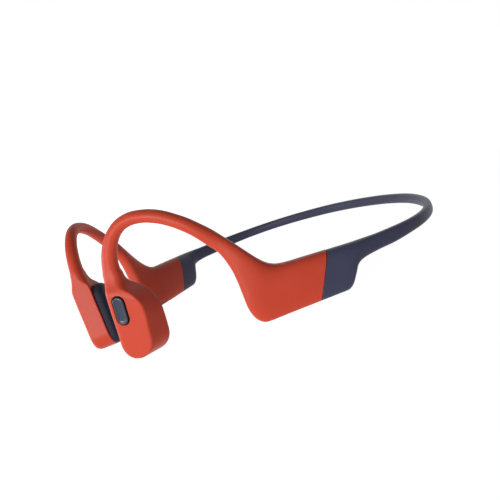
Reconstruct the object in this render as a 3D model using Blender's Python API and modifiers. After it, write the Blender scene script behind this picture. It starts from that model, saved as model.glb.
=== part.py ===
"""Bone conduction headphones, lying on a table: the wearer's left side is +X, the front is -Y.

All lengths below are millimetres; they become metres when a mesh is made. The two arms follow one
rail, a plan curve from the middle of the neckband to the front of the pods. A point on an arm is
(s, n, z): s along the rail, positive to the rear, n out from the head and z up from the table.
"""

import math

import bmesh
import bpy
import numpy as np
from mathutils import Matrix, Vector

MM = 0.001

# Overall: the rail in plan, from the middle of the neckband to the front of the left pod.
PLAN = [
    (0.0, 75.4), (13.0, 74.7), (27.5, 71.8), (41.0, 66.3), (51.2, 60.0), (59.0, 52.6),
    (64.0, 44.5), (66.1, 36.5), (66.5, 29.0), (65.8, 21.4), (63.7, 14.0), (60.3, 7.0),
    (56.6, -0.4), (53.1, -7.5), (50.2, -14.2), (47.0, -20.4), (42.8, -26.2), (36.1, -32.7),
    (28.2, -39.3), (20.3, -45.7), (12.4, -52.1),
]
SHIFT_Y = -12.1
GAP = 0.3

# Flex: the neckband bends at the two ends of its rear arc.
FLEX_X = 22.0
FLEX_CLEAR = 0.35
FLEX_NOSE = (0.32, 0.64)

# Neckband: (s top, z top, s bottom, z bottom, width, half height of hollow, half width of hollow).
BAND = [
    (9.3, 14.4, 2.1, -0.5, 8.0, 6.9, 2.8), (12.2, 14.2, 7.0, -0.5, 7.9, 6.3, 2.75),
    (14.6, 14.0, 11.0, -0.4, 7.7, 5.5, 2.6), (16.4, 13.85, 13.3, 0.8, 7.3, 4.8, 2.3),
    (18.0, 13.7, 15.0, 3.4, 6.7, 3.6, 1.9), (19.8, 13.55, 16.5, 6.0, 5.9, 2.2, 1.4),
    (22.2, 13.35, 19.3, 7.5, 4.9, 1.2, 1.0), (26.0, 13.0, 24.9, 7.95, 3.9, 0.8, 0.8),
    (31.0, 12.7, 31.0, 7.8, 3.4, 0.8, 0.8), (36.0, 12.4, 36.0, 7.9, 3.2, 0.8, 0.8),
    (42.0, 12.1, 42.0, 8.0, 3.0, 0.8, 0.8), (50.0, 11.85, 50.0, 8.05, 2.9, 0.8, 0.8),
    (62.0, 11.75, 62.0, 8.1, 2.8, 0.8, 0.8), (78.0, 11.75, 78.0, 8.1, 2.8, 0.8, 0.8),
    (92.0, 11.75, 92.0, 8.1, 2.8, 0.8, 0.8),
]
BAND_TOP, BAND_BOTTOM, BAND_WIDE, BORE = 11.75, 8.1, 2.8, 0.8
BAND_ROUND, BORE_ROUND = 2.9, 2.3
WIRE_R = 0.5
WIRE_START = 10.5
WIRE_PAST = 0.7

# Housing: (s top, z top, s bottom, z bottom, width), from the seam forward to the hook.
HOUSING = [
    (9.0, 14.5, 1.8, -0.5, 8.0), (5.0, 14.8, -2.2, -0.5, 8.2), (1.2, 15.1, -6.2, -0.5, 8.4),
    (-2.8, 15.4, -10.4, -0.5, 8.4), (-6.2, 15.9, -14.2, -0.5, 8.2),
    (-8.4, 16.8, -17.0, 0.2, 7.8), (-10.2, 18.2, -19.0, 2.4, 7.4),
    (-11.8, 20.0, -20.0, 6.0, 6.9), (-13.4, 22.2, -20.1, 10.4, 6.4),
    (-15.2, 24.8, -20.1, 15.0, 6.0), (-17.2, 27.6, -20.5, 19.8, 5.5),
    (-19.4, 30.5, -22.1, 25.6, 4.9),
]
HOUSING_ROUND = 3.0
WALL = 1.2
HOUSE_S = -3.0

# The housings lean out from the head by this angle about a height, and the hooks don't.
LEAN_DEGREES = 5.0
LEAN_Z = 7.5
LEAN_NONE_S, LEAN_FADE = -22.0, 10.0
LEAN_END_S, LEAN_END_FADE = 24.0, 8.0

# Ear hook: (s outer, z outer, s inner, z inner, width), from the housing over to the pod.
HOOK = [
    (-19.6, 30.75, -22.35, 25.85, 4.9), (-21.8, 33.6, -24.7, 29.3, 4.7),
    (-24.4, 36.4, -27.3, 32.9, 4.5), (-27.3, 39.3, -30.0, 35.8, 4.35),
    (-30.4, 41.7, -32.6, 38.0, 4.25), (-33.7, 43.9, -35.4, 39.9, 4.2),
    (-37.3, 45.6, -38.4, 41.4, 4.2), (-41.2, 46.7, -41.7, 42.5, 4.2),
    (-45.5, 47.2, -45.4, 42.95, 4.2), (-49.7, 46.6, -48.6, 42.5, 4.25),
    (-53.0, 45.2, -51.0, 41.3, 4.3), (-55.9, 43.1, -52.9, 39.6, 4.4),
    (-58.3, 40.5, -54.4, 37.5, 4.5), (-60.2, 37.6, -55.5, 35.3, 4.6),
    (-61.6, 34.5, -56.2, 33.2, 4.7), (-62.6, 31.5, -56.5, 31.2, 4.9),
    (-63.0, 29.3, -56.2, 29.4, 5.2), (-63.1, 27.7, -55.2, 28.0, 5.8),
    (-63.1, 26.9, -54.0, 27.2, 6.6),
]
HOOK_ROUND = 2.1
HOOK_BORE = 0.8

# Pod: a rigid frame that hangs under the hook's end; p runs back along the pod, n out, q up the
# pod. Its axis lies POD_BACK behind the middle of that end and its top POD_DROP under it. The front
# and rear edges lie POD_FRONT and POD_REAR from the axis and draw in by POD_TAPER to the foot.
POD_BACK, POD_DROP, POD_N = 1.85, 1.15, -0.9
POD_FORWARD, POD_INWARD = 9.0, 3.0
POD_TOP, POD_FOOT = 13.0, 12.6
POD_FRONT, POD_REAR, POD_TAPER, POD_SLOPE = 8.5, 7.3, 0.1, 0.4
POD_ROUNDS = (2.6, 11.0, 8.5, 5.0)
POD_OUT, POD_IN = 4.6, -3.6
POD_EDGE = [(2.4, 0.0), (1.2, 0.4), (0.4, 1.3), (0.0, 2.6)]
POD_WALL = 1.1
POD_CEILING = [(0.0, 3.6), (1.6, POD_WALL)]
POD_WIRE_ENDS, WIRE_CLEAR = (0.4, 1.8), 0.6

# Skin pad: the pod's outline drawn in by PAD_MARGIN, and further at the rear and the top.
PAD_MARGIN, PAD_REAR, PAD_DROP = 0.4, 1.2, 2.0
PAD_ROUNDS = (4.0, 9.4, 7.6, 3.6)
PAD_DEEP = 3.4
PAD_EDGE = [(1.6, 0.0), (0.5, 0.7), (0.0, 2.2)]

# Transducer in each pod, about DRIVER_P, DRIVER_Q.
DRIVER_P, DRIVER_Q = -0.4, -1.0
FRAME_SIZE = (10.0, 15.6, 2.2)
FRAME_WALL, FRAME_ROUND = 0.8, 2.8
COIL_CLEAR, COIL_DEEP, COIL_WALL, COIL_ROUND = 0.6, 1.0, 0.9, 2.0
COIL_SEAT, MAGNET_SEAT = 0.1, 0.6
MAGNET_CLEAR, MAGNET_DEEP = 0.5, 1.0
PLATE_DEEP, PLATE_RISE, PLATE_INSET = 0.6, 0.5, 2.6
SPRING_DEEP, SPRING_INSET, SPRING_WIDE = 0.3, 1.8, 1.8
MIC_SIZE = (3.0, 1.2, 2.4)
MIC_P, MIC_N, MIC_CLEAR, MIC_HOLE_R = -1.5, 1.5, 1.3, 0.45

# Multifunction button, on the left pod's outer face.
BUTTON_P, BUTTON_Q = -3.8, 5.2
BUTTON_LONG, BUTTON_WIDE = 9.4, 4.0
BUTTON_GAP = 0.4
BUTTON_PROUD = 0.5
BUTTON_TRAVEL = 0.4
BUTTON_THICK = 1.4
BUTTON_EDGE = [(0.45, 0.0), (0.12, 0.25), (0.0, 0.7)]
BUTTON_WAY = 3.0
SWITCH_SIZE = (2.6, 0.6, 3.6)
BUTTON_BOARD = (4.2, 0.4, 6.0)
BUTTON_BOARD_SHIFT = (-0.4, 2.2)

# Left housing: the cell and its protection board.
CELL_SIZE = (18.0, 4.0, 10.0)
CELL_S, CELL_N, CELL_Z = -3.6, -0.25, 7.6
CELL_BOARD = (4.0, 0.8, 4.8)
CELL_BOARD_S, CELL_BOARD_Z = 9.6, 5.1

# Right housing: boards, the status light, and in the underside the charging port and, on a step,
# the volume keys.
BOARD_SIZE = (19.0, 0.8, 9.4)
BOARD_S, BOARD_N, BOARD_Z = -3.4, 1.3, 8.4
CHIP_SIZE, CHIP_SHIFT = (4.5, 0.9, 4.5), (-4.6, 1.6)
RADIO_SIZE, RADIO_SHIFT = (7.0, 1.3, 6.0), (5.0, 1.0)
PORT_S = -2.2
PORT_LONG, PORT_WIDE = 6.8, 3.8
PORT_FACE, PORT_BASE, PORT_SPARE = 1.2, 1.2, 0.5
CONTACTS, CONTACT_R, CONTACT_STEP, CONTACT_LONG, CONTACT_SUNK = 2, 0.75, 3.0, 1.5, 0.1
CARRIER_DEEP, CARRIER_WIDE, CARRIER_EDGE = 0.3, 1.2, 0.3
STEP_S, STEP_RISE = -7.2, 0.7
VOLUME_S = (-14.1, -9.9)
VOLUME_LONG, VOLUME_WIDE, VOLUME_THICK, VOLUME_ROUND = 3.6, 2.4, 1.6, 1.1
VOLUME_EDGE = [(0.0, 0.5), (0.2, 0.15), (0.5, 0.0)]
VOLUME_LOW = 0.15
VOLUME_TRAVEL = 0.3
VOLUME_WAY = 3.0
VOLUME_BOARD = (8.6, 2.8, 0.8)
LIGHT_R, LIGHT_LONG = 0.6, 1.8
LIGHT_S, LIGHT_N, LIGHT_Z = 3.4, 3.15, 4.4

# How far a cutter reaches past the face that it opens.
PAST = 3.0


def catmull(points, per):
    """Points spaced along a smooth curve through the given ones, which may hold more columns."""
    points = np.asarray(points, float)
    padded = np.vstack([2 * points[0] - points[1], points, 2 * points[-1] - points[-2]])
    out = []
    for i in range(len(points) - 1):
        a, b, c, d = padded[i : i + 4]
        for k in range(per):
            t = k / per
            out.append(
                0.5 * (2 * b + (c - a) * t + (2 * a - 5 * b + 4 * c - d) * t**2
                       + (3 * b - a - 3 * c + d) * t**3)
            )
    out.append(points[-1])
    return np.array(out)


class Rail:
    """The plan curve, with s = 0 where it crosses the seam line and s growing to the rear."""

    def __init__(self, plan):
        mirrored = [(-x, y) for x, y in plan[2:0:-1]]
        per = 24
        dense = catmull(mirrored + list(plan), per)[len(mirrored) * per :]
        step = np.linalg.norm(np.diff(dense, axis=0), axis=1)
        length = np.concatenate([[0.0], np.cumsum(step)])
        cross = np.interp(0.0, -dense[:, 1], length)
        self.s = (cross - length)[::-1]
        self.xy = dense[::-1]
        self.end = self.s[-1]

    def at(self, s):
        spare = s - self.end
        if spare > 1e-9:
            x, y, tangent, normal = self.at(self.end - spare)
            return -x, y, (tangent[0], -tangent[1]), (-normal[0], normal[1])
        here = [np.interp(s, self.s, self.xy[:, i]) for i in (0, 1)]
        near = [np.interp(min(s + 0.6, self.end), self.s, self.xy[:, i]) for i in (0, 1)]
        past = [np.interp(max(s - 0.6, self.s[0]), self.s, self.xy[:, i]) for i in (0, 1)]
        run = np.array([near[0] - past[0], near[1] - past[1]])
        run /= np.linalg.norm(run)
        return here[0], here[1], (run[0], run[1]), (run[1], -run[0])

    def s_at_x(self, x):
        rear = self.s > self.end / 2
        return float(np.interp(-x, -self.xy[rear, 0], self.s[rear]))


RAIL = Rail(PLAN)
FLEX_S = RAIL.s_at_x(FLEX_X)


def fade(value, start, width):
    """0 before start, 1 from start plus width on, and a smooth step between them."""
    t = min(max((value - start) / width, 0.0), 1.0)
    return t * t * (3 - 2 * t)


def world(side, s, n, z):
    """A point of an arm in the headphones' frame, in millimetres. side is 1 left and -1 right."""
    x, y, _, normal = RAIL.at(s)
    share = fade(s, LEAN_NONE_S, LEAN_FADE) * min(max((LEAN_END_S - s) / LEAN_END_FADE, 0.0), 1.0)
    n = n + math.tan(math.radians(LEAN_DEGREES)) * (z - LEAN_Z) * share
    return side * (x + n * normal[0]), y + n * normal[1] + SHIFT_Y, z


def make_collection(name, hidden):
    made = bpy.data.collections.new(name)
    bpy.context.scene.collection.children.link(made)
    made.hide_render = hidden
    return made


def clear_scene():
    for obj in list(bpy.data.objects):
        bpy.data.objects.remove(obj)


clear_scene()
PARTS = make_collection("bone_conduction_headphones", False)
CUTTERS = make_collection("cutters", True)


def make_pivot(name, location, parent=None):
    empty = bpy.data.objects.new(name, None)
    empty.empty_display_size = 0.01
    empty.location = [v * MM for v in location]
    empty.parent = parent
    PARTS.objects.link(empty)
    return empty


FLEX_POINT = Vector(world(1, FLEX_S, 0.0, (BAND_TOP + BAND_BOTTOM) / 2))
PIVOT_AT = {
    0: Vector((0, 0, 0)),
    1: FLEX_POINT,
    -1: Vector((-FLEX_POINT.x, FLEX_POINT.y, FLEX_POINT.z)),
}
ROOT = make_pivot("headphones", PIVOT_AT[0])
PIVOTS = {
    0: ROOT,
    1: make_pivot("left_arm_axis", PIVOT_AT[1], ROOT),
    -1: make_pivot("right_arm_axis", PIVOT_AT[-1], ROOT),
}

FINISHES = {
    "orange": ((0.70, 0.075, 0.045, 1), 0.55, 0.0),
    "navy": ((0.055, 0.055, 0.095, 1), 0.5, 0.0),
    "titanium": ((0.55, 0.54, 0.52, 1), 0.3, 1.0),
    "magnet": ((0.45, 0.45, 0.47, 1), 0.25, 1.0),
    "copper": ((0.72, 0.30, 0.12, 1), 0.35, 1.0),
    "gold": ((0.83, 0.61, 0.25, 1), 0.3, 1.0),
    "frame": ((0.12, 0.12, 0.13, 1), 0.5, 0.0),
    "board": ((0.03, 0.16, 0.07, 1), 0.45, 0.0),
    "chip": ((0.03, 0.03, 0.035, 1), 0.4, 0.0),
    "cell": ((0.55, 0.56, 0.60, 1), 0.35, 0.8),
    "clear": ((0.85, 0.87, 0.88, 1), 0.15, 0.0),
}


def finish(obj, look):
    color, roughness, metallic = FINISHES[look]
    material = bpy.data.materials.new(obj.name + "_finish")
    material.use_nodes = True
    shader = material.node_tree.nodes["Principled BSDF"]
    shader.inputs["Base Color"].default_value = color
    shader.inputs["Roughness"].default_value = roughness
    shader.inputs["Metallic"].default_value = metallic
    material.diffuse_color = color
    obj.data.materials.clear()
    obj.data.materials.append(material)


def add_object(name, mesh, side, look, smooth=math.radians(35)):
    obj = bpy.data.objects.new(name, mesh)
    if look is None:
        CUTTERS.objects.link(obj)
        obj.display_type = "WIRE"
        obj.hide_render = True
    else:
        PARTS.objects.link(obj)
        finish(obj, look)
    obj.parent = PIVOTS[side]
    mesh.shade_smooth()
    mesh.set_sharp_from_angle(angle=smooth)
    return obj


def mesh_from(name, points, faces):
    """A mesh from points in millimetres, with its faces turned outward."""
    bm = bmesh.new()
    verts = [bm.verts.new([c * MM for c in p]) for p in points]
    for face in faces:
        bm.faces.new([verts[i] for i in face])
    bmesh.ops.recalc_face_normals(bm, faces=bm.faces)
    mesh = bpy.data.meshes.new(name)
    bm.to_mesh(mesh)
    bm.free()
    return mesh


def skin(rows, count):
    """Quads between neighbouring rows of points, each row closed."""
    faces = []
    for r in range(rows - 1):
        for i in range(count):
            j = (i + 1) % count
            faces.append((r * count + i, r * count + j, (r + 1) * count + j, (r + 1) * count + i))
    return faces


def capped_skin(rows, count):
    faces = skin(rows, count)
    faces.append(tuple(range(count)))
    faces.append(tuple(range((rows - 1) * count, rows * count)))
    return faces


def loft(name, rings, side, look):
    """A solid through closed rings, with a flat face on each end."""
    count = len(rings[0])
    points = [Vector(p) - PIVOT_AT[side] for ring in rings for p in ring]
    mesh = mesh_from(name, points, capped_skin(len(rings), count))
    return add_object(name, mesh, side, look)


def loft_tube(name, outer, inner, side, look):
    """A hollow solid between two sets of rings, open at both ends."""
    count = len(outer[0])
    points = [Vector(p) - PIVOT_AT[side] for ring in list(outer) + list(inner) for p in ring]
    faces = skin(len(outer), count)
    base = len(outer) * count
    faces += [tuple(base + i for i in face) for face in skin(len(inner), count)]
    for row, inside in ((0, base), ((len(outer) - 1) * count, base + (len(inner) - 1) * count)):
        for i in range(count):
            j = (i + 1) % count
            faces.append((row + i, row + j, inside + j, inside + i))
    return add_object(name, mesh_from(name, points, faces), side, look)


def loft_shell(name, rings, side, look):
    """A shell through C-shaped rings, each an outer arc followed by the inner arc reversed."""
    count = len(rings[0])
    points = [Vector(p) - PIVOT_AT[side] for ring in rings for p in ring]
    faces = skin(len(rings), count)
    for row in (0, (len(rings) - 1) * count):
        for i in range(count // 2 - 1):
            faces.append((row + i, row + i + 1, row + count - 2 - i, row + count - 1 - i))
    return add_object(name, mesh_from(name, points, faces), side, look)


def power(value, exponent):
    return math.copysign(abs(value) ** exponent, value)


def oval_ring(side, row, rounding, count, half_tall=None, half_wide=None, floor=None):
    """A rounded section between the two ends of a row, or a smaller one about its middle."""
    s_a, z_a, s_b, z_b, wide = row[:5]
    middle = np.array([(s_a + s_b) / 2, (z_a + z_b) / 2])
    reach = np.array([(s_a - s_b) / 2, (z_a - z_b) / 2])
    tall = np.linalg.norm(reach)
    direction = reach / tall
    half_tall = tall if half_tall is None else half_tall
    half_wide = wide / 2 if half_wide is None else half_wide
    ring = []
    for i in range(count):
        angle = 2 * math.pi * i / count
        n = half_wide * power(math.cos(angle), 2 / rounding)
        s, z = middle + direction * half_tall * power(math.sin(angle), 2 / rounding)
        if floor is not None:
            z = max(z, floor)
        ring.append(world(side, s, n, z))
    return ring


def half_ring(side, row, count, facing):
    """A C-shaped section of the housing: the half that faces out (1) or in (-1), with its wall."""
    s_a, z_a, s_b, z_b, wide = row[:5]
    middle = np.array([(s_a + s_b) / 2, (z_a + z_b) / 2])
    reach = np.array([(s_a - s_b) / 2, (z_a - z_b) / 2])
    tall = np.linalg.norm(reach)
    direction = reach / tall
    ring = []
    for inset, order in ((0.0, 1), (WALL, -1)):
        arc = []
        for i in range(count):
            angle = math.pi * (i / (count - 1) - 0.5)
            span = wide / 2 - inset - GAP / 2
            n = facing * (GAP / 2 + span * power(max(math.cos(angle), 0.0), 2 / HOUSING_ROUND))
            rise = power(math.sin(angle), 2 / HOUSING_ROUND)
            s, z = middle + direction * (tall - inset) * rise
            arc.append(world(side, s, n, max(z, inset)))
        ring += arc[::order]
    return ring


def circle_path(middle, radius, count=8):
    """Rings round a path of points, square to it."""
    rings = []
    for i, here in enumerate(middle):
        along = (middle[min(i + 1, len(middle) - 1)] - middle[max(i - 1, 0)]).normalized()
        across = Vector((along.y, -along.x, 0)).normalized()
        up = across.cross(along)
        ring = []
        for k in range(count):
            angle = 2 * math.pi * k / count
            ring.append(here + radius * (math.cos(angle) * across + math.sin(angle) * up))
        rings.append(ring)
    return rings


class Frame:
    """A rigid place on an arm: p to the rear, n out from the head, q up."""

    def __init__(self, side, s, n, z, forward, inward):
        self.side = side
        self.hand = -side
        _, _, run, normal = RAIL.at(s)
        along = Vector((run[0], run[1], 0))
        out = Vector((normal[0], normal[1], 0))
        up = Vector((0, 0, 1))
        turn = Matrix.Rotation(-math.radians(forward), 3, out)
        turn = Matrix.Rotation(math.radians(inward), 3, along) @ turn
        axes = [turn @ along, turn @ out, turn @ up]
        if side < 0:
            axes = [Vector((-a.x, a.y, a.z)) for a in axes]
        else:
            axes[0] = -axes[0]
        self.rotation = Matrix(axes).transposed()
        self.origin = Vector(world(side, s, n, z))

    def local(self, p, n, q):
        return Vector((self.hand * p, n, q))

    def point(self, p, n, q):
        return self.origin + self.rotation @ self.local(p, n, q)

    def place(self, obj, p=0.0, n=0.0, q=0.0):
        obj.location = (self.point(p, n, q) - PIVOT_AT[self.side]) * MM
        obj.rotation_euler = self.rotation.to_euler()
        return obj


def offset_outline(corners, inset, arc=4):
    """A four-cornered outline with rounded corners, moved in by inset."""
    points = [Vector((c[0], c[1])) for c in corners]
    lines = []
    for i, a in enumerate(points):
        along = (points[(i + 1) % 4] - a).normalized()
        lines.append((a + Vector((along.y, -along.x)) * inset, along))
    ring = []
    for i in range(4):
        (a, da), (b, db) = lines[i - 1], lines[i]
        cross = da.x * db.y - da.y * db.x
        t = ((b.x - a.x) * db.y - (b.y - a.y) * db.x) / cross
        corner = a + da * t
        radius = max(corners[i][2] - inset, 0.4)
        angle = math.acos(max(-1.0, min(1.0, -da.dot(db))))
        back = radius / math.tan(angle / 2)
        start, stop = corner - da * back, corner + db * back
        centre = start + Vector((da.y, -da.x)) * radius
        first = math.atan2(start.y - centre.y, start.x - centre.x)
        last = math.atan2(stop.y - centre.y, stop.x - centre.x)
        sweep = (first - last) % (2 * math.pi)
        for k in range(arc + 1):
            turn = first - sweep * k / arc
            ring.append((centre.x + radius * math.cos(turn), centre.y + radius * math.sin(turn)))
    return ring


def frame_rings(frame, levels, corners, plane):
    """Outlines in a frame: levels hold (height, inset), with the height along n or, in pn, q."""
    rings = []
    for height, inset in levels:
        ring = []
        for a, b in offset_outline(corners, inset):
            ring.append(frame.local(a, height, b) if plane == "pq" else frame.local(a, b, height))
        rings.append(ring)
    return rings


def frame_loft(name, frame, levels, look, corners, at=(0.0, 0.0, 0.0), plane="pq"):
    """A solid in a frame through outlines."""
    rings = frame_rings(frame, levels, corners, plane)
    faces = capped_skin(len(rings), len(rings[0]))
    mesh = mesh_from(name, [p for ring in rings for p in ring], faces)
    return frame.place(add_object(name, mesh, frame.side, look), *at)


def frame_ring(name, frame, levels, look, corners, at=(0.0, 0.0, 0.0)):
    """A ring in a frame, through outlines that close on themselves."""
    rings = frame_rings(frame, levels, corners, "pq")
    count = len(rings[0])
    last = (len(rings) - 1) * count
    faces = skin(len(rings), count)
    for i in range(count):
        j = (i + 1) % count
        faces.append((last + i, last + j, j, i))
    mesh = mesh_from(name, [p for ring in rings for p in ring], faces)
    return frame.place(add_object(name, mesh, frame.side, look), *at)


def rounded(long, tall, radius):
    """Corners for a centred rounded rectangle, long by tall."""
    a, b = long / 2, tall / 2
    return [(-a, b, radius), (a, b, radius), (a, -b, radius), (-a, -b, radius)]


def box(name, frame, size, at, look, edge):
    """A box with bevelled edges in a frame; size is along p, n, q."""
    bm = bmesh.new()
    bmesh.ops.create_cube(bm, size=1.0)
    bmesh.ops.scale(bm, vec=[v * MM for v in size], verts=bm.verts)
    mesh = bpy.data.meshes.new(name)
    bm.to_mesh(mesh)
    bm.free()
    obj = frame.place(add_object(name, mesh, frame.side, look), *at)
    if edge:
        bevel = obj.modifiers.new("edges", "BEVEL")
        bevel.width = edge * MM
        bevel.segments = 2
        bevel.limit_method = "ANGLE"
    return obj


def rod(name, frame, radius, long, at, look, turn="n"):
    """A cylinder in a frame, along n or q."""
    bm = bmesh.new()
    bmesh.ops.create_cone(
        bm, cap_ends=True, segments=16, radius1=radius * MM, radius2=radius * MM,
        depth=long * MM,
    )
    if turn == "n":
        bmesh.ops.rotate(bm, matrix=Matrix.Rotation(math.radians(90), 3, "X"), verts=bm.verts)
    mesh = bpy.data.meshes.new(name)
    bm.to_mesh(mesh)
    bm.free()
    return frame.place(add_object(name, mesh, frame.side, look), *at)


def combine(obj, other, operation):
    modifier = obj.modifiers.new(other.name, "BOOLEAN")
    modifier.operation = operation
    modifier.solver = "EXACT"
    modifier.object = other


def cut(obj, cutter):
    combine(obj, cutter, "DIFFERENCE")


def join(obj, extra):
    combine(obj, extra, "UNION")


def row_middle(row):
    return (row[0] + row[2]) / 2, (row[1] + row[3]) / 2


def band_row(s):
    """The plain neckband's section at s."""
    return (s, BAND_TOP, s, BAND_BOTTOM, BAND_WIDE, BORE, BORE)


def wire_z(s):
    """Height of the neckband's wire: the middle of the band behind the block."""
    middle = [row_middle(r) for r in BAND if r[3] > BAND_BOTTOM / 2]
    return float(np.interp(s, [m[0] for m in middle], [m[1] for m in middle]))


def band_bore(side, rows):
    return [
        oval_ring(side, r, BORE_ROUND, 16, half_tall=r[5], half_wide=r[6]) for r in rows
    ]


def build_side_band(side, name):
    """The block and the band back to the flex point, with a rounded nose there, and its wire."""
    straight = [FLEX_S + step for step in (-2.0, -0.6, 0.0)]
    rows = [r for r in catmull(BAND, 2) if row_middle(r)[0] < straight[0] - 1.0]
    rows += [band_row(s) for s in straight]
    outer = [oval_ring(side, r, BAND_ROUND, 16, floor=0.0) for r in rows]
    half = BAND_WIDE / 2
    for share in FLEX_NOSE:
        row = band_row(FLEX_S + share * half)
        rows.append(row)
        wide = half * math.sqrt(1 - share**2)
        outer.append(oval_ring(side, row, BAND_ROUND, 16, half_wide=wide))
    loft_tube(f"neckband_{name}", outer, band_bore(side, rows), side, "navy")
    steps = np.linspace(WIRE_START, FLEX_S + WIRE_PAST, 26)
    path = [Vector(world(side, s, 0.0, wire_z(s))) for s in steps]
    loft(f"band_wire_{name}", circle_path(path, WIRE_R), side, "titanium")


def build_rear_band():
    first = FLEX_S + BAND_WIDE / 2 + FLEX_CLEAR
    last = 2 * RAIL.end - first
    steps = list(np.linspace(first, last, 15))
    rows = [band_row(s) for s in steps]
    outer = [oval_ring(1, r, BAND_ROUND, 16) for r in rows]
    loft_tube("neckband_rear", outer, band_bore(1, rows), 0, "navy")
    path = [Vector(world(1, s, 0.0, (BAND_TOP + BAND_BOTTOM) / 2)) for s in steps]
    loft("band_wire_rear", circle_path(path, WIRE_R), 0, "titanium")


def build_housing(side, name):
    """The outer and the inner half of a housing."""
    rows = catmull(HOUSING, 2)
    halves = []
    for facing, which in ((1, "outer"), (-1, "inner")):
        rings = [half_ring(side, r, 11, facing) for r in rows]
        halves.append(loft_shell(f"{name}_housing_{which}", rings, side, "orange"))
    return halves


def build_ear_hook(side, name, pod):
    """The hook and the wire that runs in it, from the housing down into the pod."""
    rows = catmull(HOOK, 2)
    outer = [oval_ring(side, r, HOOK_ROUND, 14) for r in rows]
    inner = [oval_ring(side, r, 2.0, 14, half_tall=HOOK_BORE, half_wide=HOOK_BORE) for r in rows]
    loft_tube(f"{name}_ear_hook", outer, inner, side, "orange")
    middle = [row_middle(r) for r in HOUSING[-3:-1] + HOOK[:-1]]
    path = [Vector(world(side, s, 0.0, z)) for s, z in middle]
    path += [pod.point(*pod_wire_spot(), POD_TOP - deep) for deep in POD_WIRE_ENDS]
    loft(f"{name}_hook_wire", circle_path(path, WIRE_R), side, "titanium")


def pod_wire_spot():
    """Where the hook's wire, on the rail, meets the leaning pod's top, as (p, n)."""
    forward, inward = math.radians(POD_FORWARD), math.radians(POD_INWARD)
    p = -(POD_BACK + POD_TOP * math.sin(forward)) / math.cos(forward)
    return p, -POD_N - POD_TOP * math.sin(inward)


def pod_corners():
    top, low = POD_FRONT + POD_TAPER, POD_FRONT - POD_TAPER
    points = [
        (-top, POD_TOP), (POD_REAR + POD_TAPER, POD_TOP - POD_SLOPE),
        (POD_REAR - POD_TAPER, -POD_FOOT), (-low, -POD_FOOT),
    ]
    return [(p, q, radius) for (p, q), radius in zip(points, POD_ROUNDS)]


def pad_corners():
    corners = pod_corners()
    head = POD_TOP - PAD_DROP
    heights = (head, head, -POD_FOOT + PAD_MARGIN, -POD_FOOT + PAD_MARGIN)
    return [
        (c[0] + PAD_MARGIN if c[0] < 0 else c[0] - PAD_REAR, q, radius)
        for c, q, radius in zip(corners, heights, PAD_ROUNDS)
    ]


def build_pod_shell(frame, name):
    """The pod's cup, open on the skin side, with ways for the hook's wire and the microphone."""
    ceiling = POD_OUT - POD_WALL
    shell = frame_loft(
        f"{name}_pod_shell", frame,
        [(ceiling - deep, inset) for deep, inset in POD_CEILING]
        + [(POD_IN, POD_WALL), (POD_IN, 0.0)]
        + [(POD_OUT - deep, inset) for deep, inset in POD_EDGE],
        "orange", pod_corners(),
    )
    cut(shell, rod(f"{name}_wire_way", frame, WIRE_R + WIRE_CLEAR, 2 * (POD_WIRE_ENDS[1] + PAST),
                   (*pod_wire_spot(), POD_TOP), None, turn="q"))
    cut(shell, rod(f"{name}_mic_way", frame, MIC_HOLE_R, 2 * POD_WALL + MIC_CLEAR,
                   (MIC_P, MIC_N, -POD_FOOT), None, turn="q"))
    lift = -POD_FOOT + POD_WALL + MIC_CLEAR + MIC_SIZE[2] / 2
    box(f"{name}_microphone", frame, MIC_SIZE, (MIC_P, MIC_N, lift), "cell", edge=0.2)
    return shell


def build_transducer(frame, name):
    """From the skin out: pad, vibration plate, suspension, coil in its gap, magnet and frame."""
    corners = pad_corners()
    face = POD_IN - GAP
    pocket = face - PLATE_DEEP - GAP
    frame_loft(
        f"{name}_pod_pad", frame,
        [
            (pocket, PLATE_INSET + 0.8), (pocket, PLATE_INSET - GAP), (face, PLATE_INSET - GAP),
            (face, 0.0),
        ] + [(face - PAD_DEEP + rise, inset) for rise, inset in PAD_EDGE],
        "navy", corners,
    )
    frame_loft(
        f"{name}_vibration_plate", frame,
        [(face - PLATE_DEEP, PLATE_INSET), (face + PLATE_RISE, PLATE_INSET)], "frame", corners,
    )
    seat = face + PLATE_RISE + GAP
    inner = SPRING_INSET + SPRING_WIDE
    frame_ring(
        f"{name}_suspension_spring", frame,
        [
            (seat, SPRING_INSET), (seat, inner), (seat + SPRING_DEEP, inner),
            (seat + SPRING_DEEP, SPRING_INSET),
        ],
        "titanium", corners,
    )
    base = seat + SPRING_DEEP + GAP
    wide, tall, deep = FRAME_SIZE
    spot = (DRIVER_P, 0.0, DRIVER_Q)
    frame_loft(
        f"{name}_transducer_frame", frame,
        [
            (base + deep - FRAME_WALL, FRAME_WALL + 0.2), (base, FRAME_WALL), (base, 0.0),
            (base + deep, 0.0),
        ],
        "frame", rounded(wide, tall, FRAME_ROUND), at=spot,
    )
    margin = 2 * (FRAME_WALL + COIL_CLEAR)
    low, high = base + COIL_SEAT, base + COIL_SEAT + COIL_DEEP
    frame_ring(
        f"{name}_voice_coil", frame,
        [(low, 0.0), (low, COIL_WALL), (high, COIL_WALL), (high, 0.0)],
        "copper", rounded(wide - margin, tall - margin, COIL_ROUND), at=spot,
    )
    margin += 2 * (COIL_WALL + MAGNET_CLEAR)
    box(f"{name}_transducer_magnet", frame, (wide - margin, MAGNET_DEEP, tall - margin),
        (DRIVER_P, base + MAGNET_SEAT, DRIVER_Q), "magnet", edge=0.2)


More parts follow.
